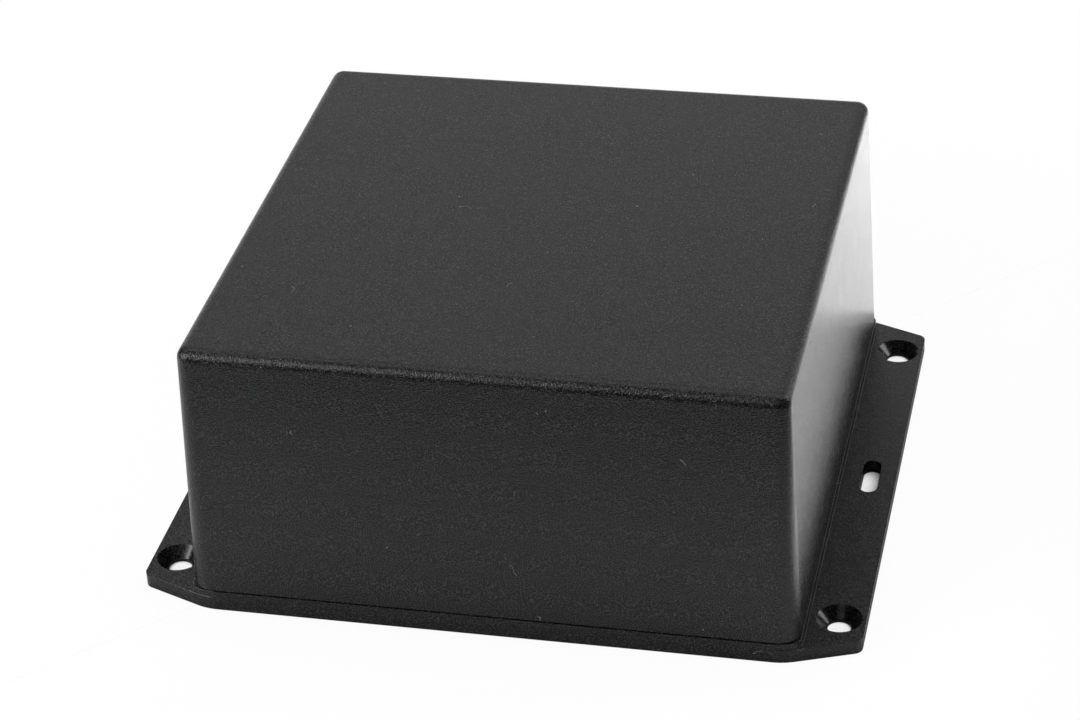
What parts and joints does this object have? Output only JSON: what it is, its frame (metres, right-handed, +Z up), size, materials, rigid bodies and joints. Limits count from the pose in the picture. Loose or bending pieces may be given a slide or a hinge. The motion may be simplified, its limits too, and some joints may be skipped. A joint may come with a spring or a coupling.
{
  "type": "plastic project box with flanged lid",
  "caption": "Square moulded enclosure, open at its base and closed by a screwed-on lid with a drilled and slotted mounting flange on each side.",
  "frame": {"origin": "centre of the lid's flat underside, on the surface that the box stands on", "axes": "+Z up from the lid to the closed end, +X towards one mounting flange, +Y along the flanges"},
  "size_m": [0.1426, 0.12, 0.0584],
  "materials": {
    "moulded_abs": "black, fine spark-eroded texture",
    "brass": "turned and knurled",
    "plated_steel": "bright zinc plate"
  },
  "bodies": {
    "root": {"enclosure_body": "moulded_abs", "flanged_lid": "moulded_abs", "insert_front_left": "brass", "insert_front_right": "brass", "insert_back_right": "brass", "insert_back_left": "brass", "lid_screw_front_left": "plated_steel", "lid_screw_front_right": "plated_steel", "lid_screw_back_right": "plated_steel", "lid_screw_back_left": "plated_steel"}
  },
  "joints": []
}
